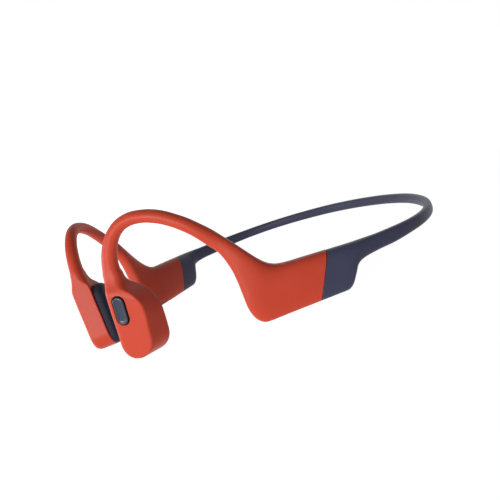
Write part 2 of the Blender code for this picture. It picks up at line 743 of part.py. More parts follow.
def build_multifunction(frame, shell):
    """The button in the left pod's outer face, and the switch and board behind it."""
    spot = (BUTTON_P, POD_OUT, BUTTON_Q)
    cap = rounded(BUTTON_WIDE, BUTTON_LONG, BUTTON_WIDE / 2 - 0.02)
    way = frame_loft(
        "button_way", frame, [(-BUTTON_WAY, -BUTTON_GAP), (PAST, -BUTTON_GAP)], None, cap, at=spot
    )
    cut(shell, way)
    low = BUTTON_PROUD - BUTTON_THICK
    frame_loft(
        "multifunction_button", frame,
        [(low, 0.0)] + [(BUTTON_PROUD - deep, inset) for deep, inset in BUTTON_EDGE],
        "navy", cap, at=spot,
    )
    under = POD_OUT + low - BUTTON_TRAVEL - GAP
    box("button_switch", frame, SWITCH_SIZE, (BUTTON_P, under - SWITCH_SIZE[1] / 2, BUTTON_Q),
        "chip", edge=0.15)
    seat = under - SWITCH_SIZE[1] - GAP
    shift_p, shift_q = BUTTON_BOARD_SHIFT
    box("button_board", frame, BUTTON_BOARD,
        (BUTTON_P + shift_p, seat - BUTTON_BOARD[1] / 2, BUTTON_Q + shift_q), "board", edge=0.1)


def build_cell(frame):
    box("battery_cell", frame, CELL_SIZE, (CELL_S - HOUSE_S, CELL_N, CELL_Z - LEAN_Z), "cell",
        edge=0.8)
    block = Frame(1, CELL_BOARD_S, 0.0, CELL_BOARD_Z, 0.0, 0.0)
    box("battery_board", block, CELL_BOARD, (0.0, 0.0, 0.0), "board", edge=0.1)


def build_electronics(frame):
    """The main board with its processor and radio on the inner side."""
    p, q = BOARD_S - HOUSE_S, BOARD_Z - LEAN_Z
    box("main_board", frame, BOARD_SIZE, (p, BOARD_N, q), "board", edge=0.1)
    face = BOARD_N - BOARD_SIZE[1] / 2 - GAP / 2
    for name, size, shift, look in (
        ("radio_module", RADIO_SIZE, RADIO_SHIFT, "cell"),
        ("processor_chip", CHIP_SIZE, CHIP_SHIFT, "chip"),
    ):
        box(name, frame, size, (p + shift[0], face - size[1] / 2, q + shift[1]), look, edge=0.1)


def underside(side, s):
    """An upright frame on the underside, at z = 0."""
    return Frame(side, s, 0.0, 0.0, 0.0, 0.0)


def build_charge_port(side, halves):
    """A recess in the underside, its base, and the contacts that come down through the base."""
    frame = underside(side, PORT_S)
    corners = rounded(PORT_LONG, PORT_WIDE, PORT_WIDE / 2 - 0.05)
    top = PORT_FACE + PORT_BASE
    way = frame_loft("port_way", frame, [(-PAST, 0.0), (top + PORT_SPARE, 0.0)], None, corners,
                     plane="pn")
    for half in halves:
        cut(half, way)
    base = frame_loft("charge_port_base", frame, [(PORT_FACE, GAP), (top, GAP)], "chip", corners,
                      plane="pn")
    low = PORT_FACE + CONTACT_SUNK
    high = low + CONTACT_LONG
    span = (CONTACTS - 1) * CONTACT_STEP
    carrier = box(
        "charge_contacts", frame,
        (span + 2 * (CONTACT_R + CARRIER_EDGE), CARRIER_WIDE, CARRIER_DEEP),
        (0.0, 0.0, high + CARRIER_DEEP / 2 - CONTACT_SUNK), "gold", edge=0,
    )
    for k in range(CONTACTS):
        p = k * CONTACT_STEP - span / 2
        cut(base, rod(f"contact_way_{k}", frame, CONTACT_R + GAP / 2, 2 * PAST,
                      (p, 0.0, PORT_FACE), None, turn="q"))
        join(carrier, rod(f"contact_pin_{k}", frame, CONTACT_R, CONTACT_LONG,
                          (p, 0.0, (low + high) / 2), None, turn="q"))


def build_volume(side, halves):
    """Two keys that stand out of a step in the underside, and the board that they press on."""
    reach = STEP_S - HOUSING[-1][2]
    step = frame_loft(
        "volume_step", underside(side, STEP_S), [(-PAST, 0.0), (STEP_RISE, 0.0)], None,
        rounded(2 * reach, 4 * HOUSING[0][4], 0.5), at=(-reach, 0.0, 0.0), plane="pn",
    )
    for half in halves:
        cut(half, step)
    shape = rounded(VOLUME_LONG, VOLUME_WIDE, VOLUME_ROUND)
    for s, name in zip(VOLUME_S, ("up", "down")):
        frame = underside(side, s)
        way = frame_loft(f"volume_{name}_way", frame, [(-PAST, -GAP), (VOLUME_WAY, -GAP)], None,
                         shape, plane="pn")
        for half in halves:
            cut(half, way)
        frame_loft(f"volume_{name}_button", frame, VOLUME_EDGE + [(VOLUME_THICK, 0.0)], "navy",
                   shape, at=(0.0, 0.0, VOLUME_LOW), plane="pn")
    seat = VOLUME_LOW + VOLUME_THICK + VOLUME_TRAVEL + GAP
    box("volume_switch_board", underside(side, sum(VOLUME_S) / 2), VOLUME_BOARD,
        (0.0, 0.0, seat + VOLUME_BOARD[2] / 2), "board", edge=0.1)


def build_light(frame, outer):
    p, q = LIGHT_S - HOUSE_S, LIGHT_Z - LEAN_Z
    cut(outer, rod("light_way", frame, LIGHT_R + GAP / 2, 2 * PAST, (p, LIGHT_N + 1.0, q), None))
    rod("status_light_pipe", frame, LIGHT_R, LIGHT_LONG, (p, LIGHT_N, q), "clear")


def build_arm(side, name):
    end_s, end_z = row_middle(HOOK[-1])
    pod = Frame(side, end_s + POD_BACK, POD_N, end_z - POD_DROP - POD_TOP, POD_FORWARD, POD_INWARD)
    house = Frame(side, HOUSE_S, 0.0, LEAN_Z, 0.0, LEAN_DEGREES)
    build_side_band(side, name)
    outer, inner = build_housing(side, name)
    build_ear_hook(side, name, pod)
    shell = build_pod_shell(pod, name)
    build_transducer(pod, name)
    if side > 0:
        build_multifunction(pod, shell)
        build_cell(house)
    else:
        build_electronics(house)
        build_charge_port(side, (outer, inner))
        build_volume(side, (outer, inner))
        build_light(house, outer)


build_rear_band()
build_arm(1, "left")
build_arm(-1, "right")
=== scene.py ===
"""Looks for the bone conduction headphones: silicone skins, band, pads, buttons and a studio."""

import math

import bmesh
import bpy
import numpy as np
from mathutils import Matrix, Vector

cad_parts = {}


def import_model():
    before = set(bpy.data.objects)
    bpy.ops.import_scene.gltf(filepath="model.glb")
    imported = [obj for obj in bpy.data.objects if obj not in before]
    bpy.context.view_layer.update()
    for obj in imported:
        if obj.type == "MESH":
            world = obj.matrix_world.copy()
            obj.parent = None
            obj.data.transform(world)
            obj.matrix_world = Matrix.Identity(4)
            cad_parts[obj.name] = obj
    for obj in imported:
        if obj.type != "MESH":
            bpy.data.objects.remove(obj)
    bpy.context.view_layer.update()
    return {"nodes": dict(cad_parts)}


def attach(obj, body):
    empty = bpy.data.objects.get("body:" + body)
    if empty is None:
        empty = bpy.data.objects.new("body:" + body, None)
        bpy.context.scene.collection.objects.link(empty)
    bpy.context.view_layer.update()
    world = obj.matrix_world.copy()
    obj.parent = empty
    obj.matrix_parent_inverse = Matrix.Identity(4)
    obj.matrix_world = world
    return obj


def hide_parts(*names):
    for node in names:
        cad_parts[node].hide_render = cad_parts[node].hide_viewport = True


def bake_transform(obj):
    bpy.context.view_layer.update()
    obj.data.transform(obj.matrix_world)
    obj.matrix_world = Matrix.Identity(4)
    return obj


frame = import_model()

MM = 0.001

# The CAD model's own values, in millimetres. An arm's point is (s, n, z): s along the plan curve,
# positive to the rear, n out from the head and z up. On a pod it is (p, n, q) in the pod's frame.
PLAN = [
    (0.0, 75.4), (13.0, 74.7), (27.5, 71.8), (41.0, 66.3), (51.2, 60.0), (59.0, 52.6),
    (64.0, 44.5), (66.1, 36.5), (66.5, 29.0), (65.8, 21.4), (63.7, 14.0), (60.3, 7.0),
    (56.6, -0.4), (53.1, -7.5), (50.2, -14.2), (47.0, -20.4), (42.8, -26.2), (36.1, -32.7),
    (28.2, -39.3), (20.3, -45.7), (12.4, -52.1),
]
SHIFT_Y = -12.1
RAIL_STEP = 0.6
# The housings lean outward about LEAN_Z. The lean grows in over LEAN_IN at the hook and fades out
# over LEAN_OUT at the band; each holds (s, length).
LEAN_DEGREES, LEAN_Z = 5.0, 7.5
LEAN = math.tan(math.radians(LEAN_DEGREES))
LEAN_IN, LEAN_OUT = (-22.0, 10.0), (24.0, 8.0)
# Neckband, from the block's seam to the middle: (s top, z top, s bottom, z bottom, width).
BAND = [
    (9.25, 14.4, 2.05, -0.5, 8.0), (12.2, 14.2, 7.0, -0.5, 7.9), (14.6, 14.0, 11.0, -0.4, 7.7),
    (16.4, 13.85, 13.3, 0.8, 7.3), (18.0, 13.7, 15.0, 3.4, 6.7), (19.8, 13.55, 16.5, 6.0, 5.9),
    (22.2, 13.35, 19.3, 7.5, 4.9), (26.0, 13.0, 24.9, 7.95, 3.9), (31.0, 12.7, 31.0, 7.8, 3.4),
    (36.0, 12.4, 36.0, 7.9, 3.2), (42.0, 12.1, 42.0, 8.0, 3.0), (50.0, 11.85, 50.0, 8.05, 2.9),
    (62.0, 11.75, 62.0, 8.1, 2.8), (78.0, 11.75, 78.0, 8.1, 2.8), (92.0, 11.75, 92.0, 8.1, 2.8),
    (106.0, 11.75, 106.0, 8.1, 2.8), (118.0, 11.75, 118.0, 8.1, 2.8),
]
BAND_ROUND, BAND_TOP, BAND_LOW, BAND_WIDE = 2.9, 11.75, 8.1, 2.8
# What enters the housing behind the seam: (back from the seam, down from the top, bottom z, width,
# lowest z).
SPIGOT = [
    (1.0, 0.5, 0.6, 7.0, 0.6), (0.12, 0.35, 0.3, 7.3, 0.3), (0.12, 0.1, -0.3, 7.75, 0.1),
]
WIRE_R, WIRE_START, WIRE_Z_BLOCK, WIRE_Z_BAND = 0.5, (11.0, 14.0, 18.0), 10.1, 9.95
# Housing and ear hook, from the seam forward, in the same values.
HOUSING = [
    (9.0, 14.5, 1.8, -0.5, 8.0), (5.0, 14.8, -2.2, -0.5, 8.2), (1.2, 15.1, -6.2, -0.5, 8.4),
    (-2.8, 15.4, -10.4, -0.5, 8.4), (-6.2, 15.9, -14.2, -0.5, 8.2),
    (-8.4, 16.8, -17.0, 0.2, 7.8), (-10.2, 18.2, -19.0, 2.4, 7.4),
    (-11.8, 20.0, -20.0, 6.0, 6.9), (-13.4, 22.2, -20.1, 10.4, 6.4),
    (-15.2, 24.8, -20.1, 15.0, 6.0), (-17.2, 27.6, -20.5, 19.8, 5.5),
    (-19.4, 30.5, -22.1, 25.6, 4.95), (-21.8, 33.6, -24.7, 29.3, 4.7),
    (-24.4, 36.4, -27.3, 32.9, 4.5), (-27.3, 39.3, -30.0, 35.8, 4.35),
    (-30.4, 41.7, -32.6, 38.0, 4.25), (-33.7, 43.9, -35.4, 39.9, 4.2),
    (-37.3, 45.6, -38.4, 41.4, 4.2), (-41.2, 46.7, -41.7, 42.5, 4.2),
    (-45.5, 47.2, -45.4, 42.95, 4.2), (-49.7, 46.6, -48.6, 42.5, 4.25),
    (-53.0, 45.2, -51.0, 41.3, 4.3), (-55.9, 43.1, -52.9, 39.6, 4.4),
    (-58.3, 40.5, -54.4, 37.5, 4.5), (-60.2, 37.6, -55.5, 35.3, 4.6),
    (-61.6, 34.5, -56.2, 33.2, 4.7), (-62.6, 31.5, -56.5, 31.2, 4.9),
]
HOUSING_ROUND, HOOK_ROUND = 3.0, 2.1
HOUSE_S = -3.0
# The pod's frame, and how far its outer face stands out in it.
POD_S, POD_N, POD_Z = -56.7, -0.9, 12.9
POD_FORWARD, POD_INWARD = 9.0, 3.0
POD_OUT = 4.6
# The pad's corners, (p, q, radius), and its levels, (depth from its top, inset).
PAD_CORNERS = [
    (-8.2, 10.7, 4.0), (5.65, 10.7, 10.2), (5.5, -12.2, 7.6), (-8.0, -12.2, 3.2),
]
PAD_TOP = -3.88
PAD_LEVELS = [
    (0.0, 0.5), (0.0, 0.15), (0.15, 0.0), (1.6, 0.0), (2.2, 0.12), (2.7, 0.45), (3.05, 0.95),
    (3.25, 1.6), (3.34, 2.4), (3.36, 3.4),
]
# The multifunction button: its place and size, and the levels, (height, inset), of its cap above
# the pod's outer face, of the black liner that paints the gap's shade, and of the way round it.
BUTTON_P, BUTTON_Q = -3.8, 5.2
BUTTON_LONG, BUTTON_WIDE, BUTTON_GAP = 9.4, 4.0, 0.4
CAP_LEVELS = [
    (-0.9, 0.0), (0.10, 0.0), (0.24, 0.05), (0.36, 0.16), (0.42, 0.32), (0.43, 0.5), (0.38, 0.68),
    (0.30, 0.82), (0.25, 1.0), (0.22, 1.4),
]
GAP_SHADE_LEVELS = [
    (2.45, -0.37), (4.3, -0.37), (4.36, -0.32), (4.3, -0.18), (3.2, -0.16), (3.0, 1.8),
]
BUTTON_WAY_LEVELS = [(2.4, -BUTTON_GAP), (4.35, -BUTTON_GAP), (4.9, -BUTTON_GAP - 0.35)]
# The microphone's way through the pod's foot: (radius, ends in q, place).
MIC_WAY = (0.45, (-14.0, -11.0), (-1.5, 1.5, 0.0))
# The charging port in the right housing's underside.
PORT_S, PORT_LONG, PORT_WIDE, PORT_DEEP = -2.2, 6.8, 3.8, 2.4
# The step in the underside runs forward from STEP_S, and the volume keys stand on it.
STEP_S, STEP_LONG, STEP_WIDE, STEP_RISE = -7.2, 29.8, 32.0, 0.7
VOLUME_S = (-14.1, -9.9)
VOLUME_LONG, VOLUME_WIDE, VOLUME_LOW, VOLUME_ROUND = 3.6, 2.4, 0.15, 1.1
VOLUME_TRIM_S, VOLUME_TRIM = -11.75, (8.3, 5.8, 1.5)
LIGHT_S, LIGHT_Z, LIGHT_R = 3.4, 4.4, 0.6
GAP = 0.3

# Pod sections down the pod: (q, front p, rear p, crease p, inner n, outer n) and the radii of their
# corners: (front outer, crease, inner).
POD_ROWS = [
    (16.3, -8.80, -2.1, -2.1, -2.5, 2.60, 2.5, 2.5, 2.5),
    (15.3, -8.76, -1.95, -2.0, -2.6, 2.82, 2.5, 2.45, 2.45),
    (14.4, -8.74, -1.75, -1.85, -2.75, 3.08, 2.5, 2.3, 2.3),
    (13.6, -8.72, -1.5, -1.7, -2.95, 3.36, 2.5, 2.1, 2.0),
    (12.9, -8.7, -1.1, -1.4, -3.15, 3.65, 2.5, 1.9, 1.6),
    (12.3, -8.69, -0.5, -0.9, -3.35, 3.93, 2.5, 1.7, 1.2),
    (11.7, -8.68, 0.35, -0.2, -3.5, 4.19, 2.5, 1.5, 0.8),
    (11.0, -8.67, 1.5, 0.8, -3.57, 4.41, 2.5, 1.3, 0.6),
    (10.2, -8.66, 2.65, 1.8, -3.6, 4.55, 2.5, 1.2, 0.45),
    (9.4, -8.65, 3.5, 2.6, -3.6, 4.6, 2.5, 1.1, 0.4),
    (8.4, -8.64, 4.4, 3.4, -3.6, 4.6, 2.5, 1.0, 0.4),
    (7.0, -8.62, 5.3, 4.2, -3.6, 4.6, 2.45, 0.95, 0.4),
    (5.5, -8.6, 6.0, 4.6, -3.6, 4.6, 2.4, 0.9, 0.4),
    (4.0, -8.58, 6.55, 4.7, -3.6, 4.6, 2.4, 0.9, 0.4),
    (2.3, -8.55, 7.0, 4.7, -3.6, 4.6, 2.4, 0.9, 0.4),
    (0.5, -8.5, 7.22, 4.6, -3.6, 4.6, 2.4, 0.9, 0.4),
    (-1.4, -8.45, 7.3, 4.45, -3.6, 4.6, 2.4, 0.9, 0.4),
    (-3.6, -8.4, 7.3, 4.4, -3.6, 4.6, 2.4, 0.9, 0.4),
]
# The pod's foot: its lowest q, the radii of its front, rear and inner edges, the crease's run as
# (q, p), and the height and depth of the outer face's roll under it.
POD_FOOT, FOOT_FRONT, FOOT_REAR, FOOT_SIDE = -12.6, 5.4, 7.3, 0.6
FOOT_CREASE = [
    (-12.6, -2.4), (-12.0, -1.0), (-11.6, -0.2), (-10.9, 0.9), (-10.2, 2.0), (-9.3, 3.0),
    (-8.0, 3.8), (-6.2, 4.3), (-3.6, 4.4),
]
FOOT_ROLL, FOOT_ROLL_DEEP = 1.4, 2.4

# The outer face is a flat facet, and it falls away above a sloping line, less so past EASE_Q.
FACET_TOP, FACET_SLOPE, FACET_FALL, FACET_SOFT = 9.8, -0.371, 0.36, 0.3
EASE_Q, EASE_FALL = 13.0, 0.2
# Steps round each corner of a pod section, points across its facet, and sections between rows.
ARC, ACROSS, BETWEEN, POD_BETWEEN, FOOT_STEPS = 17, 16, 6, 4, 24
# The skin's rounding goes from the housing's to the hook's over these rows of HOUSING.
ROUND_FROM, ROUND_OVER = 7.0, 6.0


# Geometry helpers


def catmull(points, per):
    """A smooth curve through the points, with per steps from each to the next."""
    points = np.asarray(points, float)
    padded = np.vstack([2 * points[0] - points[1], points, 2 * points[-1] - points[-2]])
    out = []
    for i in range(len(points) - 1):
        a, b, c, d = padded[i : i + 4]
        for k in range(per):
            t = k / per
            out.append(
                0.5 * (2 * b + (c - a) * t + (2 * a - 5 * b + 4 * c - d) * t**2
                       + (3 * b - a - 3 * c + d) * t**3)
            )
    out.append(points[-1])
    return np.array(out)


class Rail:
    """The plan curve by its length: s is 0 where it crosses y = 0, and grows to the rear."""

    def __init__(self, plan):
        mirrored = [(-x, y) for x, y in plan[2:0:-1]]
        per = 24
        dense = catmull(mirrored + list(plan), per)[len(mirrored) * per :]
        step = np.linalg.norm(np.diff(dense, axis=0), axis=1)
        length = np.concatenate([[0.0], np.cumsum(step)])
        cross = np.interp(0.0, -dense[:, 1], length)
        self.s = (cross - length)[::-1]
        self.xy = dense[::-1]
        self.end = self.s[-1]

    def at(self, s):
        """The place at s, the direction of the rail, and the normal out from the head."""
        s = min(s, self.end)
        here = [np.interp(s, self.s, self.xy[:, i]) for i in (0, 1)]
        if s > self.end - RAIL_STEP:
            return here[0], here[1], (-1.0, 0.0), (0.0, 1.0)
        near = [np.interp(s + RAIL_STEP, self.s, self.xy[:, i]) for i in (0, 1)]
        past = [np.interp(max(s - RAIL_STEP, self.s[0]), self.s, self.xy[:, i]) for i in (0, 1)]
        run = np.array([near[0] - past[0], near[1] - past[1]])
        run /= np.linalg.norm(run)
        return here[0], here[1], (run[0], run[1]), (run[1], -run[0])


RAIL = Rail(PLAN)


def smooth(t):
    t = min(max(t, 0.0), 1.0)
    return t * t * (3 - 2 * t)


def world(side, s, n, z):
    """The place of an arm's point, with the housing's lean."""
    x, y, _, normal = RAIL.at(s)
    grown = smooth((s - LEAN_IN[0]) / LEAN_IN[1])
    left = min(max((LEAN_OUT[0] - s) / LEAN_OUT[1], 0.0), 1.0)
    n += LEAN * (z - LEAN_Z) * grown * left
    return Vector((side * (x + n * normal[0]), y + n * normal[1] + SHIFT_Y, z))


class Frame:
    """A rigid place on an arm: p to the rear, n out from the head, q up."""

    def __init__(self, side, s, n, z, forward, inward):
        self.hand = -side
        _, _, run, normal = RAIL.at(s)
        along, out = Vector((run[0], run[1], 0)), Vector((normal[0], normal[1], 0))
        turn = Matrix.Rotation(-math.radians(forward), 3, out)
        turn = Matrix.Rotation(math.radians(inward), 3, along) @ turn
        axes = [turn @ along, turn @ out, turn @ Vector((0, 0, 1))]
        if side < 0:
            axes = [Vector((-a.x, a.y, a.z)) for a in axes]
        else:
            axes[0] = -axes[0]
        self.rotation = Matrix(axes).transposed()
        self.origin = world(side, s, n, z)

    def point(self, p, n, q):
        return self.origin + self.rotation @ Vector((self.hand * p, n, q))


def power(value, exponent):
    return math.copysign(abs(value) ** exponent, value)


def turns(count):
    return [2 * math.pi * i / count for i in range(count)]


def skin_turns():
    """Angles round a hook ring that meet the pod's corners and the points across its facet."""
    degrees = []
    for start, stop in ((14, 88), (92, 178), (182, 268), (272, 346)):
        degrees += list(np.linspace(start, stop, ARC + 1))
    degrees += list(np.linspace(346, 374, ACROSS + 2)[1:-1])
    return [math.radians(d) for d in degrees]


def oval_ring(side, row, rounding, angles, lowest=None):
    """A superellipse round an arm, leaning as its row does and flat at its lowest height."""
    s_a, z_a, s_b, z_b, wide = row
    middle = np.array([(s_a + s_b) / 2, (z_a + z_b) / 2])
    reach = np.array([(s_a - s_b) / 2, (z_a - z_b) / 2])
    ring = []
    for angle in angles:
        n = wide / 2 * power(math.cos(angle), 2 / rounding)
        s, z = middle + reach * power(math.sin(angle), 2 / rounding)
        if lowest is not None:
            z = max(z, lowest)
        ring.append(world(side, s, n, z))
    return ring


def mesh_object(name, points, faces):
    bm = bmesh.new()
    verts = [bm.verts.new(Vector(p) * MM) for p in points]
    for face in faces:
        bm.faces.new([verts[i] for i in face])
    bmesh.ops.recalc_face_normals(bm, faces=bm.faces)
    mesh = bpy.data.meshes.new(name)
    bm.to_mesh(mesh)
    bm.free()
    obj = bpy.data.objects.new(name, mesh)
    bpy.context.scene.collection.objects.link(obj)
    return obj


def skin(name, rings):
    """A closed surface through rings of points, with flat ends."""
    count = len(rings[0])
    points = [p for ring in rings for p in ring]
    faces = []
    for r in range(len(rings) - 1):
        for i in range(count):
            j = (i + 1) % count
            faces.append((r * count + i, r * count + j, (r + 1) * count + j, (r + 1) * count + i))
    faces.append(tuple(range(count)))
    faces.append(tuple(range((len(rings) - 1) * count, len(rings) * count)))
    return mesh_object(name, points, faces)


def shade(obj, degrees):
    obj.data.shade_smooth()
    obj.data.set_sharp_from_angle(angle=math.radians(degrees))
    return obj


def rounded(long, tall, radius):
    """The corners of a rounded rectangle, for outline."""
    a, b = long / 2, tall / 2
    return [(-a, b, radius), (a, b, radius), (a, -b, radius), (-a, -b, radius)]


def outline(corners, inset, arc=10):
    """A four-cornered outline with rounded corners, moved in by inset."""
    points = [Vector((c[0], c[1])) for c in corners]
    lines = []
    for i, a in enumerate(points):
        along = (points[(i + 1) % 4] - a).normalized()
        lines.append((a + Vector((along.y, -along.x)) * inset, along))
    ring = []
    for i in range(4):
        (a, da), (b, db) = lines[i - 1], lines[i]
        cross = da.x * db.y - da.y * db.x
        t = ((b.x - a.x) * db.y - (b.y - a.y) * db.x) / cross
        corner = a + da * t
        radius = max(corners[i][2] - inset, 0.05)
        angle = math.acos(max(-1.0, min(1.0, -da.dot(db))))
        back = radius / math.tan(angle / 2)
        start, stop = corner - da * back, corner + db * back
        centre = start + Vector((da.y, -da.x)) * radius
        first = math.atan2(start.y - centre.y, start.x - centre.x)
        last = math.atan2(stop.y - centre.y, stop.x - centre.x)
        sweep = (first - last) % (2 * math.pi)
        for k in range(arc + 1):
            turn = first - sweep * k / arc
            ring.append((centre.x + radius * math.cos(turn), centre.y + radius * math.sin(turn)))
    return ring


# The button's and the keys' outlines.
BUTTON_CAP = rounded(BUTTON_WIDE, BUTTON_LONG, BUTTON_WIDE / 2 - 0.02)
VOLUME_KEY = rounded(VOLUME_LONG, VOLUME_WIDE, VOLUME_ROUND)


def plate(name, place, corners, levels, at=(0.0, 0.0, 0.0), plane="pq"):
    """A lofted plate in a frame; levels hold (height along the third axis, inset)."""
    rings = []
    for height, inset in levels:
        ring = []
        for u, v in outline(corners, inset):
            local = (u, height, v) if plane == "pq" else (u, v, height)
            ring.append(place.point(*(a + b for a, b in zip(at, local))))
        rings.append(ring)
    return skin(name, rings)


def rod(name, place, radius, ends, at, plane="n"):
    """A round rod in a frame, along its n or its q."""
    rings = []
    for end in ends:
        ring = []
        for angle in turns(32):
            u, v = radius * math.cos(angle), radius * math.sin(angle)
            local = (u, end, v) if plane == "n" else (u, v, end)
            ring.append(place.point(*(a + b for a, b in zip(at, local))))
        rings.append(ring)
    return skin(name, rings)


def carve(obj, cutters):
    """Cuts the cutters out of obj and removes them."""
    bpy.context.view_layer.objects.active = obj
    for cutter in cutters:
        modifier = obj.modifiers.new("carve", "BOOLEAN")
        modifier.operation = "DIFFERENCE"
        modifier.solver = "EXACT"
        modifier.object = cutter
    graph = bpy.context.evaluated_depsgraph_get()
    mesh = bpy.data.meshes.new_from_object(obj.evaluated_get(graph))
    obj.modifiers.clear()
    old = obj.data
    obj.data = mesh
    bpy.data.meshes.remove(old)
    for cutter in cutters:
        bpy.data.objects.remove(cutter)
    return obj


# Materials


def noise(nodes, links, vector, scale, detail):
    node = nodes.new("ShaderNodeTexNoise")
    node.inputs["Scale"].default_value = scale
    node.inputs["Detail"].default_value = detail
    links.new(vector, node.inputs["Vector"])
    return node.outputs["Fac"]


def mottled(name, colors, mottle, grain, span, roughness, bump, stretch=(1, 1, 1)):
    """A material whose colour wanders between two over a noise, with roughness and bump in a grain.

    mottle and grain hold (scale, detail), span the ramp's ends, roughness (least, most) and bump
    (strength, metres). No grain means that the mottling serves for it too.
    """
    material = bpy.data.materials.new(name)
    material.use_nodes = True
    nodes, links = material.node_tree.nodes, material.node_tree.links
    shader = nodes["Principled BSDF"]
    place = nodes.new("ShaderNodeTexCoord")
    mapping = nodes.new("ShaderNodeMapping")
    mapping.inputs["Scale"].default_value = stretch
    links.new(place.outputs["Object"], mapping.inputs["Vector"])
    broad = noise(nodes, links, mapping.outputs["Vector"], *mottle)
    fine = noise(nodes, links, mapping.outputs["Vector"], *grain) if grain else broad
    ramp = nodes.new("ShaderNodeValToRGB")
    for element, position, color in zip(ramp.color_ramp.elements, span, colors):
        element.position = position
        element.color = (*color, 1)
    links.new(broad, ramp.inputs["Fac"])
    links.new(ramp.outputs["Color"], shader.inputs["Base Color"])
    rough = nodes.new("ShaderNodeMapRange")
    rough.inputs["To Min"].default_value, rough.inputs["To Max"].default_value = roughness
    links.new(fine, rough.inputs["Value"])
    links.new(rough.outputs["Result"], shader.inputs["Roughness"])
    relief = nodes.new("ShaderNodeBump")
    relief.inputs["Strength"].default_value, relief.inputs["Distance"].default_value = bump
    links.new(fine, relief.inputs["Height"])
    links.new(relief.outputs["Normal"], shader.inputs["Normal"])
    return material


def silicone(name, color, dark, roughness, grain, specular, coat=0.0):
    """Moulded silicone: faint mottling, fine grain and softly varying roughness."""
    material = mottled(name, (dark, color), (90.0, 4.0), (2600.0, 3.0), (0.3, 0.7),
                       (roughness - 0.06, roughness + 0.06), (grain, 6e-5))
    shader = material.node_tree.nodes["Principled BSDF"]
    shader.inputs["Specular IOR Level"].default_value = specular
    shader.inputs["Coat Weight"].default_value = coat
    shader.inputs["Coat Roughness"].default_value = 0.25
    return material


def hard(name, color, dark, roughness, metallic, scale, stretch=(1, 1, 1), bump=2e-5):
    """Metal or hard plastic, with scratches or grain that follow stretch."""
    material = mottled(name, (dark, color), (scale, 5.0), None, (0.35, 0.65),
                       (max(roughness - 0.08, 0.02), roughness + 0.08), (0.3, bump), stretch)
    shader = material.node_tree.nodes["Principled BSDF"]
    shader.inputs["Metallic"].default_value = metallic
    return material


ORANGE = silicone("orange_silicone", (0.62, 0.066, 0.031), (0.59, 0.060, 0.028), 0.42, 0.22, 0.2)
NAVY = silicone("navy_silicone", (0.049, 0.051, 0.099), (0.043, 0.045, 0.088), 0.45, 0.25, 0.22)
PAD = silicone("pad_silicone", (0.023, 0.023, 0.043), (0.019, 0.019, 0.037), 0.55, 0.3, 0.12)
BUTTON = silicone("button_gloss", (0.017, 0.026, 0.058), (0.015, 0.023, 0.052), 0.25, 0.1, 0.4,
                  0.25)
# Near-black for the liner in the button's gap: painted shade in the gap.
GAP_SHADE_BLACK = silicone("painted_gap_shade", (0.008, 0.008, 0.010), (0.006, 0.006, 0.008), 0.6, 0.2, 0.2)
TITANIUM = hard("titanium_drawn", (0.52, 0.51, 0.49), (0.44, 0.43, 0.42), 0.32, 1.0, 900.0)
STEEL = hard("yoke_metal", (0.42, 0.42, 0.43), (0.34, 0.34, 0.35), 0.38, 1.0, 700.0, (1, 6, 1))
CAN = hard("shield_tin", (0.62, 0.62, 0.63), (0.54, 0.54, 0.55), 0.34, 1.0, 500.0, (5, 1, 1))
NICKEL = hard("magnet_nickel", (0.55, 0.54, 0.52), (0.47, 0.46, 0.45), 0.22, 1.0, 600.0)
COPPER = hard("coil_copper", (0.72, 0.30, 0.13), (0.55, 0.20, 0.08), 0.35, 1.0, 1600.0, (1, 1, 9))
GOLD = hard("contact_gold", (0.86, 0.62, 0.24), (0.78, 0.55, 0.20), 0.25, 1.0, 900.0)
BOARD = hard("solder_mask", (0.02, 0.13, 0.06), (0.015, 0.09, 0.045), 0.42, 0.0, 1500.0)
BLACK_PLASTIC = hard("moulded_black", (0.022, 0.022, 0.025), (0.015, 0.015, 0.017), 0.45, 0.0,
                     2200.0)
FOIL = hard("cell_foil", (0.56, 0.57, 0.60), (0.48, 0.49, 0.52), 0.36, 0.85, 350.0, (1, 3, 1), 6e-5)
CLEAR = hard("light_pipe", (0.80, 0.83, 0.85), (0.74, 0.77, 0.80), 0.15, 0.0, 800.0)


def paint(obj, material):
    obj.data.materials.clear()
    obj.data.materials.append(material)
    return obj


# Orange skin: housing, ear hook and pod in one


def soft_min(value, limit):
    """The lower of the two, with a rounded step from one to the other."""
    over = (value - limit) / FACET_SOFT
    if over < -1:
        return value
    if over > 1:
        return limit
    return value - FACET_SOFT * (over + 1) ** 2 / 4


def pod_ring(place, row):
    """One section of the pod: four rounded corners, with the outer one creased along the facet."""
    q, front, rear, crease, inner, outer, *radii = row
    most = 0.46 * min(crease - front, outer - inner)
    near, bend, low = (min(r, most) for r in radii)
    corners = [
        (front, outer, near), (crease, outer, bend), (rear, inner, low), (front, inner, low),
    ]
    ring = outline(corners, 0.0, ARC)[::-1]
    ring = ring[3 * (ARC + 1) :] + ring[: 3 * (ARC + 1)]
    last, first = ring[-1], ring[0]
    for k in range(1, ACROSS + 1):
        t = k / (ACROSS + 1)
        ring.append((last[0] + (first[0] - last[0]) * t, last[1] + (first[1] - last[1]) * t))
    out = []
    for p, n in ring:
        if n > 0:
            fall = FACET_FALL * (q - (FACET_TOP + FACET_SLOPE * p))
            fall -= EASE_FALL * max(q - EASE_Q, 0.0)
            n = soft_min(n, POD_OUT - fall)
        out.append(place.point(p, n, q))
    return out


